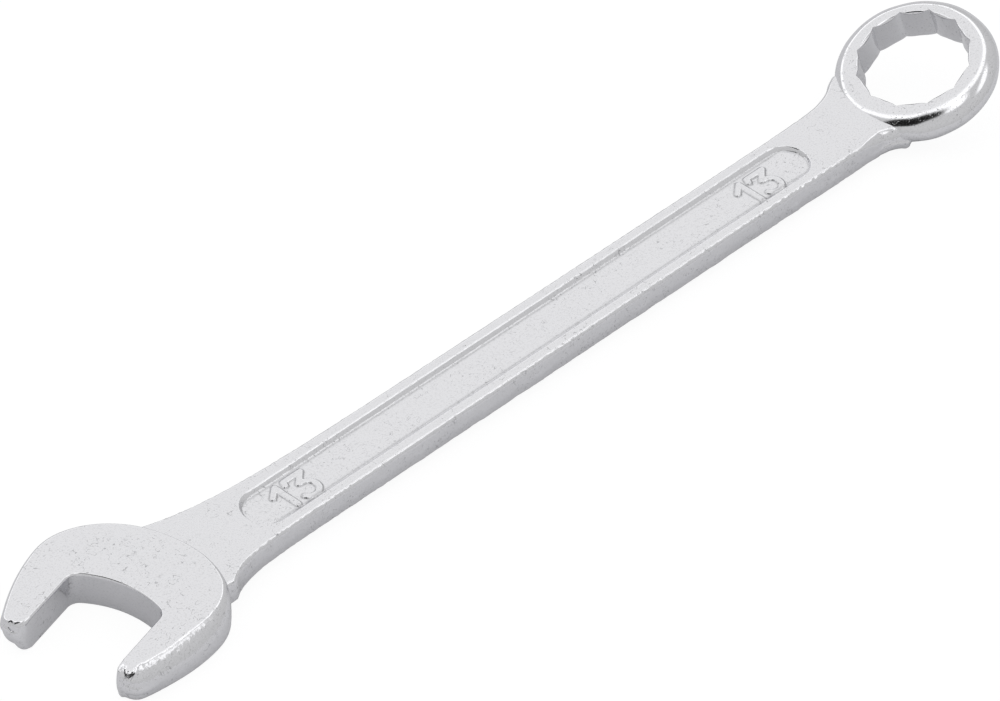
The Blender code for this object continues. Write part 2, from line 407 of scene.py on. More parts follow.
@dataclass
class Graph:
    """Adds nodes to a node tree.

    Attributes:
        tree: The tree of a material or of the world.
    """

    tree: bpy.types.NodeTree

    def add(self, kind: str, settings: Mapping[str, Any], sockets: Mapping[Any, Any]) -> bpy.types.Node:
        """Adds a node, sets its options, then fills its sockets.

        Args:
            kind: The node's type.
            settings: Options of the node, by name.
            sockets: Numbers, colours, values or outputs for its inputs, by name or number.

        Returns:
            The new node.
        """
        node = self.tree.nodes.new(kind)
        for name, setting in settings.items():
            setattr(node, name, setting)
        for name, content in sockets.items():
            if isinstance(content, Value):
                content = content.socket
            if isinstance(content, bpy.types.NodeSocket):
                self.tree.links.new(content, node.inputs[name])
            else:
                node.inputs[name].default_value = content
        return node

    def value(
        self, kind: str, settings: Mapping[str, Any], sockets: Mapping[Any, Any], output: Any = 0
    ) -> Value:
        """Adds a node and gives one of its outputs as a value."""
        return Value(self, self.add(kind, settings, sockets).outputs[output])

    def noise(self, where: bpy.types.NodeSocket, size: float, detail: float, roughness: float = 0.5) -> Value:
        """A noise between 0 and 1 whose largest features have a size in mm."""
        sockets = {"Vector": where, "Scale": 1.0 / (size * MM), "Detail": detail, "Roughness": roughness}
        return self.value("ShaderNodeTexNoise", {}, sockets, "Fac")

    def mask(self, name: str) -> Value:
        """A named value of the mesh."""
        return self.value("ShaderNodeAttribute", {"attribute_name": name}, {}, "Fac")

    def mix_colour(self, share: Value, first: Any, second: Any) -> bpy.types.NodeSocket:
        """A colour between two others."""
        sockets = {"Factor": share, 6: first, 7: second}
        node = self.add("ShaderNodeMix", {"data_type": "RGBA"}, sockets)
        return node.outputs[2]


@dataclass(frozen=True)
class Plating:
    """Bright plating over forged steel: metal with fine grain, blister marks, specks, and painted shade in
    hollows.

    Attributes:
        name: Name of the material.
        tint: Colour of the clean metal.
        shade_and_mark_tint: Colour of the blister marks, specks and grain, and of the painted shade in
            hollows.
        roughness: Roughness of the smoothest metal.
        roughness_swing: How much rougher the dullest patches are.
        grain_size: Size of the fine grain, in mm.
        grain_height: Its height, in mm.
        grain_shade: How much it darkens the metal.
        mark_size: Size of the blisters, in mm.
        mark_shade: How dark their outlines are.
        speck_size: Size of the specks, in mm.
        speck_shade: How dark they are.
        ripple_size: Size of the ripples on rough places, in mm.
        ripple_height: Their height there, in mm.
        cloud_size: Size of the dull patches, in mm.
        patch_size: Size of the patches that gather marks and specks, in mm.
        break_size: Size of the breaks in the blisters' outlines, in mm.
        mark_depth: Depth of those outlines, in mm.
        speck_depth: Depth of the specks, in mm.
    """

    name: str
    tint: tuple[float, float, float]
    shade_and_mark_tint: tuple[float, float, float]
    roughness: float
    roughness_swing: float
    grain_size: float = 0.22
    grain_height: float = 0.0013
    grain_shade: float = 0.4
    mark_size: float = 1.3
    mark_shade: float = 0.5
    speck_size: float = 0.30
    speck_shade: float = 0.5
    ripple_size: float = 0.38
    ripple_height: float = 0.022
    cloud_size: float = 7.0
    patch_size: float = 4.0
    break_size: float = 0.7
    mark_depth: float = 0.004
    speck_depth: float = 0.006

    def material(self) -> bpy.types.Material:
        """Makes the material, on Object coordinates and the masks of the mesh.

        Blister marks are thin level lines of a noise, broken up by a finer noise and gathered in
        patches by a coarser one. Specks are the highest places of a fine noise in the same patches.

        Returns:
            The new material.
        """
        material = bpy.data.materials.new(self.name)
        material.use_nodes = True
        graph = Graph(material.node_tree)
        shader = material.node_tree.nodes["Principled BSDF"]
        where = graph.add("ShaderNodeTexCoord", {}, {}).outputs["Object"]
        hollow_shade = graph.mask("hollow_shade")
        rough = graph.mask("rough")

        grain = graph.noise(where, self.grain_size, 3.0, 0.6)
        cloud = graph.noise(where, self.cloud_size, 3.0)
        patch = graph.noise(where, self.patch_size, 2.0).rise(0.42, 0.58)
        blister = graph.noise(where, self.mark_size, 1.5)
        broken = graph.noise(where, self.break_size, 2.0).rise(0.46, 0.58)
        line = 1.0 - (blister - 0.57).math("ABSOLUTE").rise(0.004, 0.02)
        marks = line * broken * patch
        specks = graph.noise(where, self.speck_size, 2.0).rise(0.64, 0.72) * (patch * 0.8 + 0.2)
        ripple = graph.noise(where, self.ripple_size, 2.5, 0.55)

        # Blister marks, specks and grain darken the metal, and the mask of hollows adds painted shade there,
        # a little darker where the grain is high.
        marks_and_shade = hollow_shade * (0.9 + 1.2 * grain) + marks * self.mark_shade + specks * self.speck_shade
        marks_and_shade = (marks_and_shade + (grain - 0.5).math("MAXIMUM", 0.0) * self.grain_shade * 2.0).clamp()
        colour = graph.mix_colour(marks_and_shade, (*self.tint, 1.0), (*self.shade_and_mark_tint, 1.0))
        dull = self.roughness + self.roughness_swing * cloud.rise(0.35, 0.7) + rough * 0.06 + marks_and_shade * 0.2

        height = (
            grain * self.grain_height
            + ripple * rough * self.ripple_height
            - marks * self.mark_depth
            - specks * self.speck_depth
        )
        bump = graph.add("ShaderNodeBump", {}, {"Height": height * MM, "Strength": 1.0, "Distance": 1.0})

        shader.inputs["Metallic"].default_value = 1.0
        graph.tree.links.new(colour, shader.inputs["Base Color"])
        graph.tree.links.new(dull.clamp().socket, shader.inputs["Roughness"])
        graph.tree.links.new(bump.outputs["Normal"], shader.inputs["Normal"])
        return material


@dataclass
class Piece:
    """What every piece of the wrench has: its name, the solid it stands for, and its finish."""

    name: str
    node: str
    slot: Slot
    finish: Plating

    def skin(self) -> Skin:
        """The piece's surface. Each kind of piece works out its own."""
        raise NotImplementedError

    def build(self, placement: Placement) -> bpy.types.Object:
        """Makes the piece, dresses it, and ties it to the frame.

        Args:
            placement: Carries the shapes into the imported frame.

        Returns:
            The finished object.
        """
        piece = self.skin().to_object(placement)
        piece.data.materials.append(self.finish.material())
        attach(piece, BODY)
        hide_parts(self.node)
        LOG.info("%s: %d faces", piece.name, len(piece.data.polygons))
        return piece


@dataclass(frozen=True)
class Rim:
    """Rounding of an edge along a path that runs from the far jaw's tip to the near jaw's.

    Attributes:
        places: Shares of the way along the path.
        radii: Radius at each of them, in mm.
        powers: Shape at each of them: 2 is round, and less is flatter, as on a ground chamfer.
    """

    places: tuple[float, ...]
    radii: tuple[float, ...]
    powers: tuple[float, ...]

    def drop(self, place: Array, depth: Array) -> Array:
        """How far a face lies below its full height near its edge.

        On the edge it is the whole radius. It falls to nothing one radius inside, along a quarter of
        a superellipse.

        Args:
            place: Share of the way along the path, by row.
            depth: Distance inside the edge, by row and column.

        Returns:
            Drops in mm.
        """
        radius = np.interp(place, self.places, self.radii)[:, None]
        power = np.interp(place, self.places, self.powers)[:, None]
        left = np.clip(1.0 - depth / radius, 0.0, 1.0)
        return radius * (1.0 - (1.0 - left**power) ** (1.0 / power))


@dataclass(frozen=True)
class Jaw:
    """One jaw of the open end, measured on the jaws' centre line and across it.

    Attributes:
        side: Side of the wrench that it is on.
        reach: From the crossing point to its tip.
        tip_half: From the centre line to its outer corner, before rounding.
        shoulder_half: From the centre line to its shoulder, the widest place.
        flank_power: How late its flank falls off towards the tip.
        back_power: How square the rounded back of the boss is on this side, 2 for an ellipse.
        tip_radius: Rounding of the outer corner of its tip.
        tip_inner_radius: Rounding of the inner corner.
    """

    side: Side
    reach: float
    tip_half: float
    shoulder_half: float
    flank_power: float
    back_power: float
    tip_radius: float
    tip_inner_radius: float


@dataclass
class OpenEnd(Piece):
    """The open-ended head: a flat boss with two jaws, slanted to the shank.

    Attributes:
        far: The far jaw.
        near: The near jaw.
        half_opening: Half the width between the jaws.
        slant: Angle of the jaws to the shank.
        throat_reach: From the crossing point to the back of the throat.
        throat_radius: Radius of the throat's floor.
        throat_corner: Radius of its corners.
        shoulder_reach: From the crossing point to the widest place.
        back_reach: From the crossing point to the back of the boss.
        half_thickness: Half the thickness of the boss.
        wall_bulge: How far the outer wall swells at mid height.
        tip_bow: How far the end of a jaw swells across its width.
        nose: How far it swells at mid height.
        outer_top: Rounding of the outer upper edge.
        outer_under: Rounding of the outer lower edge.
        inner_top: Rounding of the upper edge round the opening.
        inner_under: Rounding of the lower edge round the opening.
        flank_ground: Shares of the way along the edge where its ground stretch starts and is full.
        facet_fade: Shares where hammering of that stretch is gone and is full, near the tip.
        face_waves: Unevenness of the faces.
        face_dents: Dents in the faces.
        hammer_marks: Unevenness of the ground stretch.
        rows: How many steps the grid has from tip to tip.
        across: How many points it has across a face.
        wall_steps: How many points it has up a wall.
    """

    far: Jaw = Jaw(Side.FAR, 8.1, 9.68, 12.9, 1.85, 2.0, 1.7, 1.3)
    near: Jaw = Jaw(Side.NEAR, 8.4, 9.55, 13.05, 1.89, 2.15, 2.2, 1.0)
    half_opening: float = 6.55
    slant: float = math.radians(15.0)
    throat_reach: float = 4.3
    throat_radius: float = 13.4
    throat_corner: float = 1.7
    shoulder_reach: float = 4.5
    back_reach: float = 14.35
    half_thickness: float = HEAD_HALF_THICKNESS
    wall_bulge: float = 0.06
    tip_bow: float = 0.06
    nose: float = 0.3
    outer_top: Rim = Rim((0, 0.05, 0.12, 0.30, 0.42, 0.58, 0.66, 0.74, 0.80, 0.95, 1),
                         (0.9, 1.0, 1.0, 0.9, 0.5, 0.5, 0.8, 2.0, 2.4, 2.2, 1.7),
                         (2, 2, 2, 2, 2, 2, 1.9, 1.7, 1.6, 1.6, 1.8))
    outer_under: Rim = Rim((0, 0.1, 0.3, 0.42, 0.58, 0.7, 0.9, 1),
                           (2.75, 2.6, 0.7, 1.0, 1.0, 0.7, 1.5, 1.55), (2, 2, 2, 2, 2, 2, 2, 2))
    inner_top: Rim = Rim((0, 0.03, 0.08, 0.92, 0.97, 1),
                         (1.3, 1.1, 0.4, 0.4, 0.8, 1.7), (2, 2, 2, 2, 2, 2))
    inner_under: Rim = Rim((0, 0.03, 0.08, 0.92, 0.97, 1),
                           (2.75, 1.65, 0.3, 0.3, 0.93, 1.55), (2, 2, 2, 2, 2, 2))
    flank_ground: Point = (0.655, 0.70)
    facet_fade: Point = (0.985, 0.95)
    face_waves: Unevenness = Unevenness(3, 9.0, 2.0, 0.006)
    face_dents: Dents = Dents(11, 46, (-7.0, -12.0), (14.0, 12.0), (0.12, 0.34), (0.010, 0.035))
    hammer_marks: Unevenness = Unevenness(14, 1.2, 0.4, 0.014)
    rows: int = 400
    across: int = 64
    wall_steps: int = 12

    def tip_end(self, jaw: Jaw, across: Array) -> Array:
        """Points on the end of a jaw, which swells a little towards its middle.

        Args:
            jaw: The jaw.
            across: Distances from the centre line.

        Returns:
            Points along and across the centre line.
        """
        off = (across - self.tip_middle(jaw)) / (jaw.tip_half - self.tip_middle(jaw))
        return np.stack((-jaw.reach + self.tip_bow * off**2, across), axis=1)

    def tip_middle(self, jaw: Jaw) -> float:
        """Where the middle of a jaw's tip lies across the centre line."""
        return self.half_opening + jaw.tip_inner_radius + 0.3

    def outer_path(self, jaw: Jaw) -> Array:
        """Outline from the middle of a jaw's tip round its flank to the back of the boss.

        The flank's half-width is the shoulder's less a power of the share of the way to the tip, and
        the back is a quarter of a superellipse.

        Args:
            jaw: The jaw.

        Returns:
            Points along and across the jaws' centre line, both as positive widths.
        """
        along = np.linspace(-jaw.reach + 0.9 * jaw.tip_radius, self.shoulder_reach, 80)
        share = (self.shoulder_reach - along) / (self.shoulder_reach + jaw.reach)
        flank = jaw.shoulder_half - (jaw.shoulder_half - jaw.tip_half) * share**jaw.flank_power
        end = self.tip_end(jaw, np.array((self.tip_middle(jaw), jaw.tip_half)))
        first = np.array((along[0], flank[0]))
        corner = fillet(end[0], end[1], first, jaw.tip_radius, 24)
        straight = self.tip_end(jaw, np.linspace(self.tip_middle(jaw), corner[0, 1], 8)[:-1])
        beyond = along > corner[-1, 0] + 0.05
        angle = np.linspace(math.pi / 2, 0.0, 120)[1:]
        power = 2 / jaw.back_power
        back_along = self.shoulder_reach + (self.back_reach - self.shoulder_reach) * np.cos(angle) ** power
        back_across = jaw.shoulder_half * np.sin(angle) ** power
        return np.concatenate(
            (
                straight,
                corner,
                np.stack((along, flank), axis=1)[beyond],
                np.stack((back_along, back_across), axis=1),
            )
        )

    def inner_path(self, jaw: Jaw) -> Array:
        """Outline from the middle of a jaw's tip along its gripping face to the throat's middle.

        Args:
            jaw: The jaw.

        Returns:
            Points along and across the jaws' centre line, both as positive widths.
        """
        end = self.tip_end(jaw, np.array((self.tip_middle(jaw), self.half_opening)))
        face = np.array((0.0, self.half_opening))
        across = self.half_opening - self.throat_corner
        along = math.sqrt((self.throat_radius - self.throat_corner) ** 2 - across**2)
        base = self.throat_reach - self.throat_radius
        lean = math.atan2(across, along)
        return np.concatenate(
            (
                end[:1],
                fillet(end[0], end[1], face, jaw.tip_inner_radius, 12),
                arc((base + along, across), self.throat_corner, math.pi / 2, lean, 20),
                arc((base, 0.0), self.throat_radius, lean, 0.0, 40)[1:],
            )
        )

    def whole_path(self, half: Callable[[Jaw], Array]) -> Array:
        """A path from the far tip to the near tip, made of its two halves."""
        count = self.rows // 2 + 1
        far = resample(half(self.far), count)
        near = resample(half(self.near), count)[::-1] * np.array((1.0, Side.NEAR.value))
        return np.concatenate((far, near[1:]))

    @staticmethod
    def outward(path: Array) -> Array:
        """Unit vectors across the outer path, away from the metal."""
        along = np.gradient(path, axis=0)
        along /= np.linalg.norm(along, axis=1, keepdims=True)
        return np.stack((-along[:, 1], along[:, 0]), axis=1)

    def skin(self) -> Skin:
        """The head's surface, as sections from the outer path to the inner one.

        Each section is the top face, the inner wall down, the underside, and the outer wall up. Both
        faces drop towards their edges by their rims' rounding, at their true distance from each path.
        The first and last sections have shrunk to upright lines at the tips.

        Returns:
            The surface with its masks.
        """
        outer = self.whole_path(self.outer_path)
        inner = self.whole_path(self.inner_path)
        place = np.linspace(0.0, 1.0, len(outer))
        share = (1 - np.cos(np.linspace(0.0, math.pi, self.across))) / 2
        plan = outer[:, None, :] + (inner - outer)[:, None, :] * share[:, None]
        along, across = plan[..., 0], plan[..., 1]
        outside = distance_to_path(along, across, outer)
        inside = distance_to_path(along, across, inner)
        ground = blend(*self.flank_ground, place)[:, None] * np.ones(along.shape)
        facet = ground * blend(*self.facet_fade, place)[:, None]

        lift = self.face_waves.at(along, across)
        dents = self.face_dents.at(along, across)
        settled = blend(0.0, 0.5, np.minimum(outside, inside))
        outer_drop = self.outer_top.drop(place, outside)
        top_drop = (outer_drop**4 + self.inner_top.drop(place, inside) ** 4) ** 0.25
        under_outer = self.outer_under.drop(place, outside)
        under_inner = self.inner_under.drop(place, inside)
        under_drop = (under_outer**4 + under_inner**4) ** 0.25
        hammered = self.hammer_marks.at(along + top_drop, across) * facet * blend(0.05, 0.5, outer_drop)
        top = self.half_thickness - top_drop + (lift - dents) * settled
        top += hammered * blend(0.0, 0.15, outside)
        under = -self.half_thickness + under_drop + (np.abs(lift) + dents) * settled

        step = np.linspace(0.0, 1.0, self.wall_steps)[1:-1]
        inner_z = top[:, -1:] + (under[:, -1:] - top[:, -1:]) * step
        outer_z = under[:, :1] + (top[:, :1] - under[:, :1]) * step
        off_tips = blend(0.0, 0.04, np.minimum(place, 1 - place))[:, None]
        swell = self.wall_bulge * 4 * step * (1 - step) * off_tips
        tip = blend(-4.5, -7.0, np.stack((outer, inner))[..., 0])[..., None]
        nose = self.nose * tip * (1 - (2 * step - 1) ** 2)
        ahead = np.stack((-nose, np.zeros(nose.shape)), axis=-1)
        outer_plan = outer[:, None, :] + self.outward(outer)[:, None, :] * swell[..., None] + ahead[0]
        inner_plan = inner[:, None, :] + ahead[1]
        plan = np.concatenate((plan, inner_plan, plan[:, ::-1], outer_plan), axis=1)
        height = np.concatenate((top, inner_z, under[:, ::-1], outer_z), axis=1)
        along, across = plan[..., 0], plan[..., 1]
        x = along * math.cos(self.slant) - across * math.sin(self.slant)
        y = along * math.sin(self.slant) + across * math.cos(self.slant)
        rough = np.zeros(height.shape)
        rough[:, :self.across] = ground * blend(0.02, 0.3, outer_drop)
        hollow_shade = np.zeros(height.shape)
        return Skin(self.name, np.stack((x, y, height), axis=-1), {"hollow_shade": hollow_shade, "rough": rough})


@dataclass
class Shank(Piece):
    """The bar between the heads, with its necks, recessed panels and raised size numbers.

    Attributes:
        start: Where the bar starts, inside the open end.
        end: Where its middle ends, inside the ring end.
        half_width: Half the width of the bar.
        half_thickness: Half its thickness.
        neck_at: Where the flares at the open end have their stated size.
        near_flare: How far the near side widens there.
        near_fade: Length over which that flare fades.
        near_limit: The most that it widens.
        far_flare: How far the far side widens there.
        far_fade: Length over which that flare fades.
        far_limit: The most that it widens.
        ring_neck_at: Where the flares at the ring have their stated size.
        ring_near_flare: How far the near side widens there.
        ring_near_fade: Length over which that flare fades.
        ring_near_hook: How far it widens more, close to the ring.
        ring_near_hook_fade: Length over which that fades.
        ring_near_limit: The most that the near side widens.
        ring_far_flare: How far the far side widens there.
        ring_far_fade: Length over which that flare fades.
        ring_far_slope: How fast the far side widens past that place.
        ring_bow: How far the end's two sides reach past its middle.
        ring_near_nose_at: Where the near side starts to round off.
        ring_far_nose_at: Where the far side starts to round off.
        ring_nose_half: Half-width that both sides round off to.
        bow_start: Where the end starts to bow.
        ring_round_start: Where the edges start to grow rounder towards the ring.
        ring_ground: Where the ground stretch of the near edge starts and is full.
        foot_growth: How much rounder the lower edges become.
        near_edge_growth: How much rounder the near upper edge becomes where it is ground.
        far_edge_growth: How much rounder the far upper edge becomes.
        panel_start: Where the panels start.
        panel_end: Where they end.
        panel_half_width: Half their width.
        panel_depth: Their depth.
        panel_run: Run of their sloping wall along the sides.
        panel_end_run: Run of that wall at the ends.
        parting_height: Height of the forging's parting line.
        upper_draft: Lean of the wall above that line.
        lower_draft: Lean of the wall below it.
        top_edge: Rounding of the upper edges.
        bottom_edge: Rounding of the lower edges.
        number_height: Height of the raised numbers.
        number_half_stroke: Half the width of their strokes.
        number_bevel: Half the run of the bevel beside a stroke.
        number_places: Middles of the two numbers, along and across.
        long_flash: Long unevenness of the trimmed edges.
        short_flash: Short unevenness of those edges.
        nicks: Unevenness of the upper edges.
        top_waves: Unevenness of the top face.
        under_waves: Unevenness of the underside.
        dents: Dents in the top face, at both ends and between them.
    """

    start: float = 9.2
    end: float = 131.8
    half_width: float = 5.0
    half_thickness: float = 1.7
    neck_at: float = 14.2
    near_flare: float = 2.65
    near_fade: float = 3.06
    near_limit: float = 2.2
    far_flare: float = 2.76
    far_fade: float = 8.6
    far_limit: float = 5.0
    ring_neck_at: float = 131.0
    ring_near_flare: float = 0.54
    ring_near_fade: float = 3.56
    ring_near_hook: float = 0.75
    ring_near_hook_fade: float = 1.11
    ring_near_limit: float = 1.9
    ring_far_flare: float = 2.3
    ring_far_fade: float = 2.8
    ring_far_slope: float = 0.5
    ring_bow: float = 2.2
    ring_near_nose_at: float = 130.9
    ring_far_nose_at: float = 132.4
    ring_nose_half: float = 4.2
    bow_start: float = 124.0
    ring_round_start: float = 122.0
    ring_ground: Point = (124.5, 130.0)
    foot_growth: float = 0.9
    near_edge_growth: float = 1.25
    far_edge_growth: float = 0.3
    panel_start: float = 22.85
    panel_end: float = 119.2
    panel_half_width: float = 3.5
    panel_depth: float = 0.58
    panel_run: float = 0.95
    panel_end_run: float = 0.42
    parting_height: float = -0.25
    upper_draft: float = 0.08
    lower_draft: float = 0.03
    top_edge: float = 0.7
    bottom_edge: float = 0.525
    number_height: float = 0.22
    number_half_stroke: float = 0.42
    number_bevel: float = 0.16
    number_places: tuple[Point, Point] = ((31.0, -0.1), (110.9, -0.35))
    long_flash: Unevenness = Unevenness(5, 9.0, 2.2, 0.022)
    short_flash: Unevenness = Unevenness(6, 1.6, 0.7, 0.012)
    nicks: Unevenness = Unevenness(8, 2.6, 0.6, 0.02)
    top_waves: Unevenness = Unevenness(21, 8.0, 1.2, 0.006)
    under_waves: Unevenness = Unevenness(22, 8.0, 1.5, 0.006)
    dents: tuple[Dents, ...] = (
        Dents(31, 40, (11.0, -6.0), (24.0, 7.0), (0.12, 0.40), (0.012, 0.045)),
        Dents(32, 26, (118.0, -5.0), (132.0, 5.0), (0.10, 0.30), (0.010, 0.03)),
        Dents(33, 60, (24.0, -4.5), (118.0, 4.5), (0.08, 0.22), (0.008, 0.03)),
    )

    def rows(self) -> Array:
        """Places of the sections along the bar, closer together where it has detail."""
        stretches = ((self.start, 22.0, 60), (22.0, 36.0, 150), (36.0, 105.0, 170), (105.0, 121.0, 160),
                     (121.0, 130.5, 36), (130.5, self.end, 30))
        parts = [np.linspace(low, high, count, endpoint=False) for low, high, count in stretches]
        return np.concatenate((*parts, [self.end]))

    def half_widths(self, x: Array) -> tuple[Array, Array]:
        """Half-widths on the near and the far side: the bar's own, plus a neck at each end that
        fades by the exponential of the distance from the head.

        Args:
            x: Places along the bar.

        Returns:
            Near and far half-widths.
        """
        from_head = x - self.neck_at
        from_ring = self.ring_neck_at - x
        near = self.near_flare * np.exp(-from_head / self.near_fade)
        far = self.far_flare * np.exp(-from_head / self.far_fade)
        ring_near = self.ring_near_flare * np.exp(-from_ring / self.ring_near_fade)
        ring_near += self.ring_near_hook * np.exp(-from_ring / self.ring_near_hook_fade)
        ring_far = self.ring_far_flare * np.exp(-np.maximum(from_ring, 0.0) / self.ring_far_fade)
        ring_far += self.ring_far_slope * np.maximum(-from_ring, 0.0)
        near = np.minimum(near, self.near_limit) + np.minimum(ring_near, self.ring_near_limit)
        far = np.minimum(far, self.far_limit) + ring_far
        base = self.ring_nose_half - self.half_width
        near = base + (near - base) * self.nose_share(x, self.ring_near_nose_at)
        far = base + (far - base) * self.nose_share(x, self.ring_far_nose_at)
        return self.half_width + near, self.half_width + far

    def nose_share(self, x: Array, start: float) -> Array:
        """Share of the width kept where the bar's end rounds off inside the ring, on a quarter circle."""
        turn = np.clip((x - start) / (self.end + self.ring_bow - start), 0.0, 1.0)
        return np.sqrt(1 - turn**2)

    def panel_inset(self, x: Array, y: Array) -> tuple[Array, Array]:
        """How far inside the panel's rim a point lies, as a share of the sloping wall there.

        The rim is a long outline with half-round ends, and the wall is steeper towards the ends.

        Args:
            x: Places along the bar.
            y: Places across it.

        Returns:
            The share, 0 on the rim and 1 on the floor, and the distance from the rim in mm.
        """
        low = self.panel_start + self.panel_half_width
        high = self.panel_end - self.panel_half_width
        past = x - np.clip(x, low, high)
        reach = np.hypot(past, y)
        endwise = np.abs(past) / np.maximum(reach, 1e-6)
        run = self.panel_run + (self.panel_end_run - self.panel_run) * blend(0.0, 0.8, endwise)
        inset = self.panel_half_width - reach
        return inset / run, inset

    def number_strokes(self) -> list[Array]:
        """Centre lines of the two figures of the size number, about the middle of the number.

        The one is a flag and an upright. The three is a bar, a slanting stroke back to its middle,
        and a round bowl.

        Returns:
            One path per figure.
        """
        one = np.array(((-3.15, 0.75), (-1.75, 1.95), (-1.6, -2.1)))
        bowl = arc((1.15, -0.95), 1.35, math.radians(75.0), math.radians(-150.0), 18)
        three = np.concatenate((np.array(((-0.55, 1.35), (-0.35, 1.95), (2.45, 1.95), (0.85, 0.45))), bowl))
        return [one, three]

    def numbers(self, x: Array, y: Array) -> tuple[Array, Array]:
        """Height of the raised numbers: full on the strokes, falling off over a bevel beside them.

        Args:
            x: Places along the bar.
            y: Places across it.

        Returns:
            Heights in mm, and the distance from the nearest stroke.
        """
        gap = np.full(np.shape(x), np.inf)
        for place in self.number_places:
            close = np.abs(x - place[0]) < 6.0
            for stroke in self.number_strokes():
                beside = distance_to_path(x[close], y[close], stroke + np.array(place))
                gap[close] = np.minimum(gap[close], beside)
        low = self.number_half_stroke - self.number_bevel
        return self.number_height * (1 - blend(low, self.number_half_stroke + self.number_bevel, gap)), gap

    def edge_profile(self, top: Array, bottom: Array) -> tuple[Array, Array]:
        """One side of the section, from the top face's edge down to the underside's.

        A rounded upper edge, a wall that leans out to the parting line, a steeper one below it, and
        a rounded lower edge.

        Args:
            top: Radius of the upper edge at each row.
            bottom: Radius of the lower edge at each row.

        Returns:
            How far each column lies in from the half-width, and its height, by row.
        """
        turn = np.linspace(math.pi / 2, math.radians(6.0), 9)
        lean = self.upper_draft * (self.half_thickness - self.parting_height)
        top, bottom = top[:, None], bottom[:, None]
        upper_in = lean + top * (1 - np.cos(turn))
        upper_z = self.half_thickness - top * (1 - np.sin(turn))
        share = np.linspace(0.0, 1.0, 6)[1:]
        first_z = upper_z[:, -1:]
        wall_z = first_z + (self.parting_height - first_z) * share
        wall_in = upper_in[:, -1:] * (1 - share)
        foot_z = np.minimum(-self.half_thickness + bottom, self.parting_height - 0.05)
        bottom = foot_z + self.half_thickness
        low_z = self.parting_height + (foot_z - self.parting_height) * share
        low_in = self.lower_draft * (self.parting_height - low_z)
        under = np.linspace(0.0, math.pi / 2, 9)[1:]
        foot_in = low_in[:, -1:] + bottom * (1 - np.cos(under))
        foot = foot_z - bottom * np.sin(under)
        return (np.concatenate((upper_in, wall_in, low_in, foot_in), axis=1),
                np.concatenate((upper_z, wall_z, low_z, foot), axis=1))

    def skin(self) -> Skin:
        """The bar's surface: the top face, the near side down, the underside, and the far side up.

        Returns:
            The grid, whose end sections lie inside the two heads.
        """
        middle = self.rows()
        bow = self.ring_bow * blend(self.bow_start, self.end, middle)
        x = middle + bow
        near, far = self.half_widths(x)
        ring_end = blend(self.ring_round_start, self.end, middle)
        ground = blend(*self.ring_ground, x)
        foot = self.bottom_edge + self.foot_growth * ring_end
        near_in, near_z = self.edge_profile(self.top_edge + self.near_edge_growth * ground, foot)
        far_in, far_z = self.edge_profile(self.top_edge + self.far_edge_growth * ring_end, foot)
        low = near_z < self.parting_height + 0.1
        flash = (self.long_flash.at(x, 0.0 * x) + self.short_flash.at(x, 0.0 * x))[:, None]
        near_in = near_in + flash * low
        far_in = far_in + flash[::-1] * low
        nick = self.nicks.at(x[:, None], 2.0 * near_z)
        high = blend(0.8, 1.4, near_z) + ground[:, None]
        near_y = -(near[:, None] - near_in) + nick * high
        far_y = far[:, None] - far_in + nick[::-1] * blend(0.8, 1.4, far_z)
        share = np.linspace(0.0, 1.0, 76)[1:-1]
        top_y = far_y[:, :1] + (near_y[:, :1] - far_y[:, :1]) * share
        top_x = middle[:, None] + bow[:, None] * (2 * share - 1) ** 2
        share = np.linspace(0.0, 1.0, 34)[1:-1]
        under_y = near_y[:, -1:] + (far_y[:, -1:] - near_y[:, -1:]) * share
        under_x = middle[:, None] + bow[:, None] * (2 * share - 1) ** 2

        depth, inset = self.panel_inset(top_x, top_y)
        raised, gap = self.numbers(top_x, top_y)
        on_floor = blend(0.0, 1.0, depth)
        lift = self.top_waves.at(top_x, top_y)
        dents = sum(group.at(top_x, top_y) for group in self.dents)
        top_z = self.half_thickness - self.panel_depth * on_floor + raised + lift - dents

        under_depth, _ = self.panel_inset(under_x, under_y)
        under_lift = self.under_waves.at(under_x, under_y)
        under_z = -self.half_thickness + self.panel_depth * blend(0.0, 1.0, under_depth) + np.abs(under_lift)

        y = np.concatenate((top_y, near_y, under_y, far_y[:, ::-1]), axis=1)
        z = np.concatenate((top_z, near_z, under_z, far_z[:, ::-1]), axis=1)
        side_x = np.broadcast_to(x[:, None], near_y.shape)
        grid = np.stack((np.concatenate((top_x, side_x, under_x, side_x), axis=1), y, z), axis=-1)
        # Painted shade: the metal is darkened in a band along the foot of the panel's sloping wall and in a
        # thin line round the numbers, where shade falls.
        hollow = np.exp(-((depth - 0.95) / 0.2) ** 2) * (inset < 2.0)
        outline = np.exp(-((gap - self.number_half_stroke - 0.08) / 0.10) ** 2)
        hollow_shade = np.zeros(y.shape)
        hollow_shade[:, :top_y.shape[1]] = np.maximum(0.25 * hollow, 0.35 * outline)
        rough = np.zeros(y.shape)
        rough[:, :top_y.shape[1]] = 0.35 * on_floor + 0.4 * blend(6.0, 3.0, gap)
        return Skin(self.name, grid, {"hollow_shade": hollow_shade, "rough": rough})


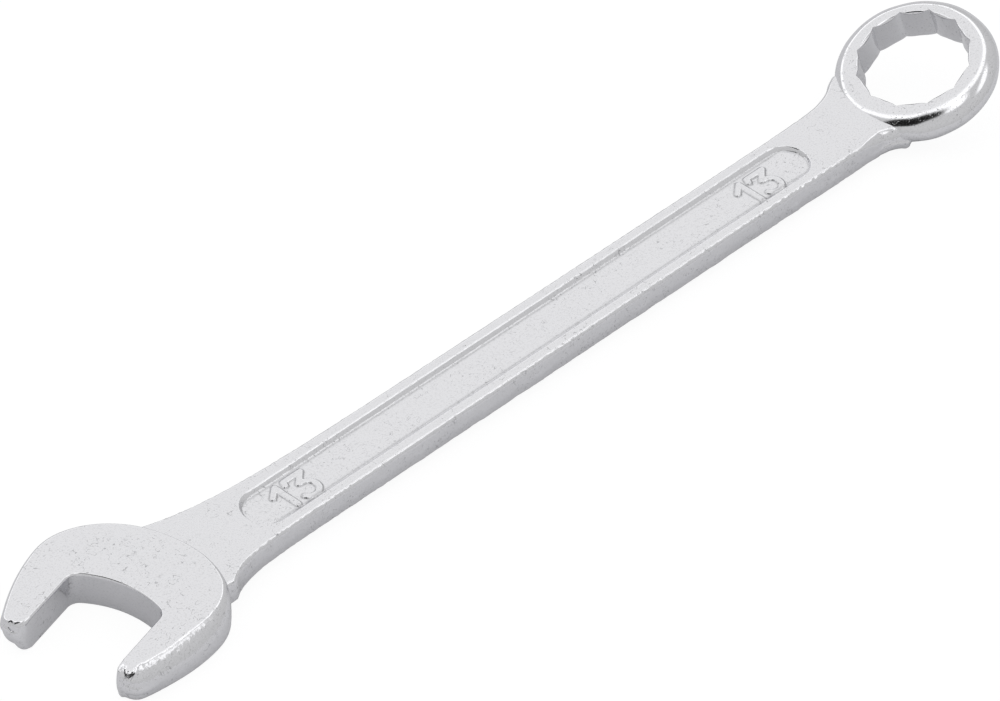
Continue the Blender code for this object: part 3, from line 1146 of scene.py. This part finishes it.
@dataclass
class RingEnd(Piece):
    """The ring head: a crowned ring with a twelve-point hole, tilted up from the shank.

    Attributes:
        centre: Middle of the ring, in the wrench's own axes.
        tilt: Angle of the ring's plane to the shank.
        clocking: Angle of a corner of the hole from the ring's own length.
        points: Corners of the hole.
        half_opening: Half the width across the hole's flats.
        blunt_radius: Radius that the hole's inner points are blunted to.
        outer_radius: Outer radius of the ring.
        ridge_radius: Radius that its crown is flat at, just inside the hole.
        top: Height of the crown there above the waist.
        bottom: Depth of the crown below the waist.
        crown_power: How square the crown is, 2 for an ellipse.
        roll_radius: Radius from which the crown rolls into the hole, to ease a nut in.
        roll_run: Run of that roll.
        roll_depth: Depth of that roll.
        rim: Rounding of the hole's edges.
        shift: How far the outside lies off the hole's centre, along and across.
        blunt_power: How sharply the blunted points meet the flats.
        waves: Unevenness of the outside.
        steps_per_point: Steps of the grid for each corner of the hole.
    """

    centre: tuple[float, float, float] = (139.87, 0.0, 3.2)
    tilt: float = math.radians(18.5)
    clocking: float = math.radians(-4.0)
    points: int = 12
    half_opening: float = 6.55
    blunt_radius: float = 7.02
    outer_radius: float = 10.67
    ridge_radius: float = 6.6
    top: float = 2.47
    bottom: float = 3.1
    crown_power: float = 1.85
    roll_radius: float = 8.0
    roll_run: float = 1.1
    roll_depth: float = 0.9
    rim: float = 0.12
    shift: Point = (-0.3, -0.33)
    blunt_power: int = 60
    waves: Unevenness = Unevenness(41, 12.0, 3.0, 0.02)
    steps_per_point: int = 40

    def hole_radius(self, angle: Array) -> Array:
        """Radius of the hole: the flats of two hexagons, each its half-width over the cosine of the
        angle from its own middle, with the points between them blunted by a high-power mean.

        Args:
            angle: Angles round the ring from a corner.

        Returns:
            Radii in mm.
        """
        step = 2 * math.pi / self.points
        from_corner = np.abs((angle + step / 2) % step - step / 2)
        flats = self.half_opening / np.cos(step - from_corner)
        power = self.blunt_power
        return (flats**power + self.blunt_radius**power) ** (1 / power)

    def crown(self, mouth: Array, rise: float) -> tuple[Array, Array]:
        """One half of the section, from the hole's mouth to the waist.

        It is part of a quarter of a superellipse, less a quarter of an ellipse where it rolls into
        the hole, and less a small quarter circle at the very edge.

        Args:
            mouth: Radius of the mouth at each angle.
            rise: Height of the crown above the waist.

        Returns:
            Radii and heights above the waist, by angle and step.
        """
        reach = self.outer_radius - self.ridge_radius
        start = np.arccos(((mouth - self.ridge_radius) / reach) ** (self.crown_power / 2))
        turn = start[:, None] * (1 - np.linspace(0.0, 1.0, 66) ** 1.6)
        radius = self.ridge_radius + reach * np.cos(turn) ** (2 / self.crown_power)
        height = rise * np.sin(turn) ** (2 / self.crown_power)
        rolled = np.clip((self.roll_radius - radius) / self.roll_run, 0.0, 1.0)
        left = np.clip(1 - (radius - mouth[:, None]) / self.rim, 0.0, 1.0)
        height = height - self.roll_depth * (1 - np.sqrt(1 - rolled**2))
        return radius, height - self.rim * (1 - np.sqrt(1 - left**2))

    def skin(self) -> Skin:
        """The ring's surface: outwards over the crown to the waist, back under it, and up the wall.

        Returns:
            The grid, by angle round the ring and round the section.
        """
        angle = np.linspace(0.0, 2 * math.pi, self.points * self.steps_per_point, endpoint=False)
        hole = self.hole_radius(angle)
        upper_r, upper_h = self.crown(hole, self.top)
        lower_r, lower_h = self.crown(hole, self.bottom)
        climb = np.linspace(0.0, 1.0, 16)[1:-1]
        wall_r = np.broadcast_to(hole[:, None], (len(angle), len(climb)))
        wall_h = -lower_h[:, :1] + (upper_h[:, :1] + lower_h[:, :1]) * climb
        radius = np.concatenate((upper_r, lower_r[:, ::-1][:, 1:], wall_r), axis=1)
        height = np.concatenate((upper_h, -lower_h[:, ::-1][:, 1:], wall_h), axis=1)
        out = blend(7.8, self.outer_radius, radius)
        turn = (angle + self.clocking)[:, None]
        bulge = self.waves.at(10.0 * np.cos(turn) + height, 10.0 * np.sin(turn)) * out
        u = (radius + bulge) * np.cos(turn) + self.shift[0] * out
        v = (radius + bulge) * np.sin(turn) + self.shift[1] * out
        x = self.centre[0] + u * math.cos(self.tilt) - height * math.sin(self.tilt)
        z = self.centre[2] + u * math.sin(self.tilt) + height * math.cos(self.tilt)
        grid = np.stack((x, self.centre[1] + v, np.maximum(z, -HEAD_HALF_THICKNESS)), axis=-1)
        zero = np.zeros(grid.shape[:2])
        return Skin(self.name, grid, {"hollow_shade": zero, "rough": zero}, wrap_rows=True)


@dataclass(frozen=True)
class Patch:
    """A soft-edged oval patch of the surroundings, as metal sees it.

    Attributes:
        azimuth: Direction of its middle round the wrench, in degrees from the shank's own direction.
        elevation: Height of its middle, in degrees.
        width: Half-width, in degrees.
        height: Half-height, in degrees.
        strength: How bright it is, 1 for white.
        roll: How far it is turned about its middle, in degrees.
        edge: Share of its size over which it fades.
    """

    azimuth: float
    elevation: float
    width: float
    height: float
    strength: float
    roll: float = 0.0
    edge: float = 0.3

    def share(self, graph: Graph, view: bpy.types.NodeSocket) -> Value:
        """How much of the patch is seen in a direction.

        The direction is measured on the patch's own three axes. Its sideways and upward parts, each
        over the patch's size, give an oval distance from the middle.

        Args:
            graph: Graph of the world.
            view: The direction.

        Returns:
            1 inside the patch, 0 outside.
        """
        around, up = math.radians(self.azimuth), math.radians(self.elevation)
        middle = (math.cos(up) * math.cos(around), math.cos(up) * math.sin(around), math.sin(up))
        level = np.array((-math.sin(around), math.cos(around), 0.0))
        rising = np.array((-math.sin(up) * math.cos(around), -math.sin(up) * math.sin(around), math.cos(up)))
        turn = math.radians(self.roll)
        aside = level * math.cos(turn) + rising * math.sin(turn)
        above = rising * math.cos(turn) - level * math.sin(turn)
        parts = [
            graph.value(
                "ShaderNodeVectorMath", {"operation": "DOT_PRODUCT"}, {0: view, 1: tuple(axis)}, "Value"
            )
            for axis in (middle, aside, above)
        ]
        sideways = parts[1] * (1.0 / math.sin(math.radians(self.width)))
        upward = parts[2] * (1.0 / math.sin(math.radians(self.height)))
        distance = (sideways * sideways + upward * upward).math("SQRT")
        return (1.0 - distance.rise(1.0 - self.edge, 1.0 + self.edge)) * parts[0].rise(-0.05, 0.1)


@dataclass(frozen=True)
class Studio:
    """The camera, the white surroundings and the pale table.

    Attributes:
        azimuth: Where the camera stands round the wrench, in degrees from its near side.
        elevation: How high the camera stands, in degrees.
        distance: From the camera to its target, in mm.
        target: What it looks at, in the wrench's own axes, in mm.
        lens: Focal length on a 36 mm sensor, in mm.
        room_tone: Brightness overhead, as metal sees it, 1 for white.
        horizon_tone: Brightness at the horizon.
        patches: Patches laid over that, each over those before it.
        table_colour: Colour of the table top.
        table_lift: Share of the table's own glow that the camera sees.
        table_glow: Brightness of that glow.
        table_half: Half the table's width, in metres.
    """

    azimuth: float = -44.422
    elevation: float = 42.226
    distance: float = 994.35
    target: tuple[float, float, float] = (66.896, 1.400, 0.0)
    lens: float = 290.54
    room_tone: float = 0.66
    horizon_tone: float = 0.60
    patches: tuple[Patch, ...] = (
        Patch(80.0, 52.0, 49.5, 49.5, 1.4, 0.0, 0.03),
        Patch(-118.0, 72.0, 11.0, 9.0, 1.4, 0.0, 0.25),
        Patch(-44.0, 55.0, 14.0, 7.0, 1.3, 0.0, 0.3),
        Patch(80.0, 52.0, 43.0, 43.0, 0.94, 0.0, 0.04),
        Patch(-177.3, 49.4, 28.0, 9.5, 0.012, 62.0, 0.2),
    )
    table_colour: tuple[float, float, float] = (0.66, 0.66, 0.67)
    table_lift: float = 0.85
    table_glow: float = 1.08
    table_half: float = 3.0

    def towards_camera(self) -> Array:
        """Unit vector from the wrench to the camera."""
        around, up = math.radians(self.azimuth), math.radians(self.elevation)
        return np.array((math.sin(around) * math.cos(up), -math.cos(around) * math.cos(up), math.sin(up)))

    def add_camera(self, placement: Placement) -> None:
        """Adds the camera and makes it the scene's own."""
        target = Vector(placement.to_frame(np.array(self.target)))
        back = Vector(self.towards_camera())
        right = Vector((0.0, 0.0, 1.0)).cross(back).normalized()
        up = back.cross(right)
        lens = bpy.data.cameras.new("camera")
        lens.lens = self.lens
        lens.sensor_width = 36.0
        lens.clip_end = 20.0
        camera = bpy.data.objects.new("camera", lens)
        turn = Matrix((right, up, back)).transposed().to_4x4()
        camera.matrix_world = Matrix.Translation(target + back * self.distance * MM) @ turn
        bpy.context.scene.collection.objects.link(camera)
        bpy.context.scene.camera = camera

    def add_surroundings(self) -> None:
        """White surroundings, in which metal alone sees a grey room with the patches."""
        world = bpy.data.worlds.new("studio")
        bpy.context.scene.world = world
        world.use_nodes = True
        graph = Graph(world.node_tree)
        background = world.node_tree.nodes["Background"]
        path = graph.add("ShaderNodeLightPath", {}, {})
        view = graph.add("ShaderNodeTexCoord", {}, {}).outputs["Generated"]
        climb = graph.value("ShaderNodeSeparateXYZ", {}, {0: view}, 2)
        strength = self.horizon_tone + (self.room_tone - self.horizon_tone) * climb.rise(0.0, 0.6)
        for patch in self.patches:
            share = patch.share(graph, view)
            strength = strength * (1.0 - share) + share * patch.strength
        glossy = Value(graph, path.outputs["Is Glossy Ray"])
        strength = glossy * (strength - 1.0) + 1.0
        background.inputs["Color"].default_value = (1.0, 1.0, 1.0, 1.0)
        graph.tree.links.new(strength.socket, background.inputs["Strength"])

    def add_table(self) -> None:
        """A pale table top, white to the camera apart from the shadow that the wrench casts."""
        half = self.table_half
        mesh = bpy.data.meshes.new("table")
        corners = [(-half, -half, 0.0), (half, -half, 0.0), (half, half, 0.0), (-half, half, 0.0)]
        mesh.from_pydata(corners, [], [(0, 1, 2, 3)])
        table = bpy.data.objects.new("table", mesh)
        table.location.z = -TABLE_DROP
        bpy.context.scene.collection.objects.link(table)
        material = bpy.data.materials.new("table_white")
        material.use_nodes = True
        graph = Graph(material.node_tree)
        nodes = material.node_tree.nodes
        nodes.remove(nodes["Principled BSDF"])
        path = graph.add("ShaderNodeLightPath", {}, {})
        matt = graph.add("ShaderNodeBsdfDiffuse", {}, {"Color": (*self.table_colour, 1.0)})
        glow = {"Color": (1.0, 1.0, 1.0, 1.0), "Strength": self.table_glow}
        white = graph.add("ShaderNodeEmission", {}, glow)
        seen = Value(graph, path.outputs["Is Camera Ray"]) + Value(graph, path.outputs["Is Transmission Ray"])
        share = seen.clamp() * self.table_lift
        mixed = graph.add("ShaderNodeMixShader", {}, {0: share, 1: matt.outputs[0], 2: white.outputs[0]})
        graph.tree.links.new(mixed.outputs[0], nodes["Material Output"].inputs["Surface"])
        mesh.materials.append(material)

    def build(self, placement: Placement) -> None:
        """Sets the whole studio up."""
        self.add_camera(placement)
        self.add_surroundings()
        self.add_table()
        bpy.context.scene.view_settings.view_transform = "Standard"


HEAD_FINISH = Plating("head_plating", CLEAN_METAL, SHADED_AND_MARKED_METAL, 0.06, 0.05)
RING_FINISH = Plating(
    "ring_plating", CLEAN_METAL, SHADED_AND_MARKED_METAL, 0.06, 0.05, mark_shade=0.3, grain_height=0.0024
)
SHANK_FINISH = Plating("shank_plating", CLEAN_METAL, SHADED_AND_MARKED_METAL, 0.08, 0.06, mark_size=0.9)


def main() -> None:
    """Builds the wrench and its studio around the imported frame."""
    logging.basicConfig(level=logging.INFO)
    for leftover in list(bpy.data.objects):
        bpy.data.objects.remove(leftover, do_unlink=True)
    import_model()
    placement = Placement.from_frame(TIP_REACH, HEAD_HALF_THICKNESS)
    pieces = (
        OpenEnd("open_end", "open_end_head", Slot.HEAD, HEAD_FINISH),
        Shank("panelled_shank", "shank", Slot.SHANK, SHANK_FINISH),
        RingEnd("ring_end", "ring_end_head", Slot.HEAD, RING_FINISH),
    )
    for piece in pieces:
        piece.build(placement)
    Studio().build(placement)


if __name__ == "__main__":
    main()
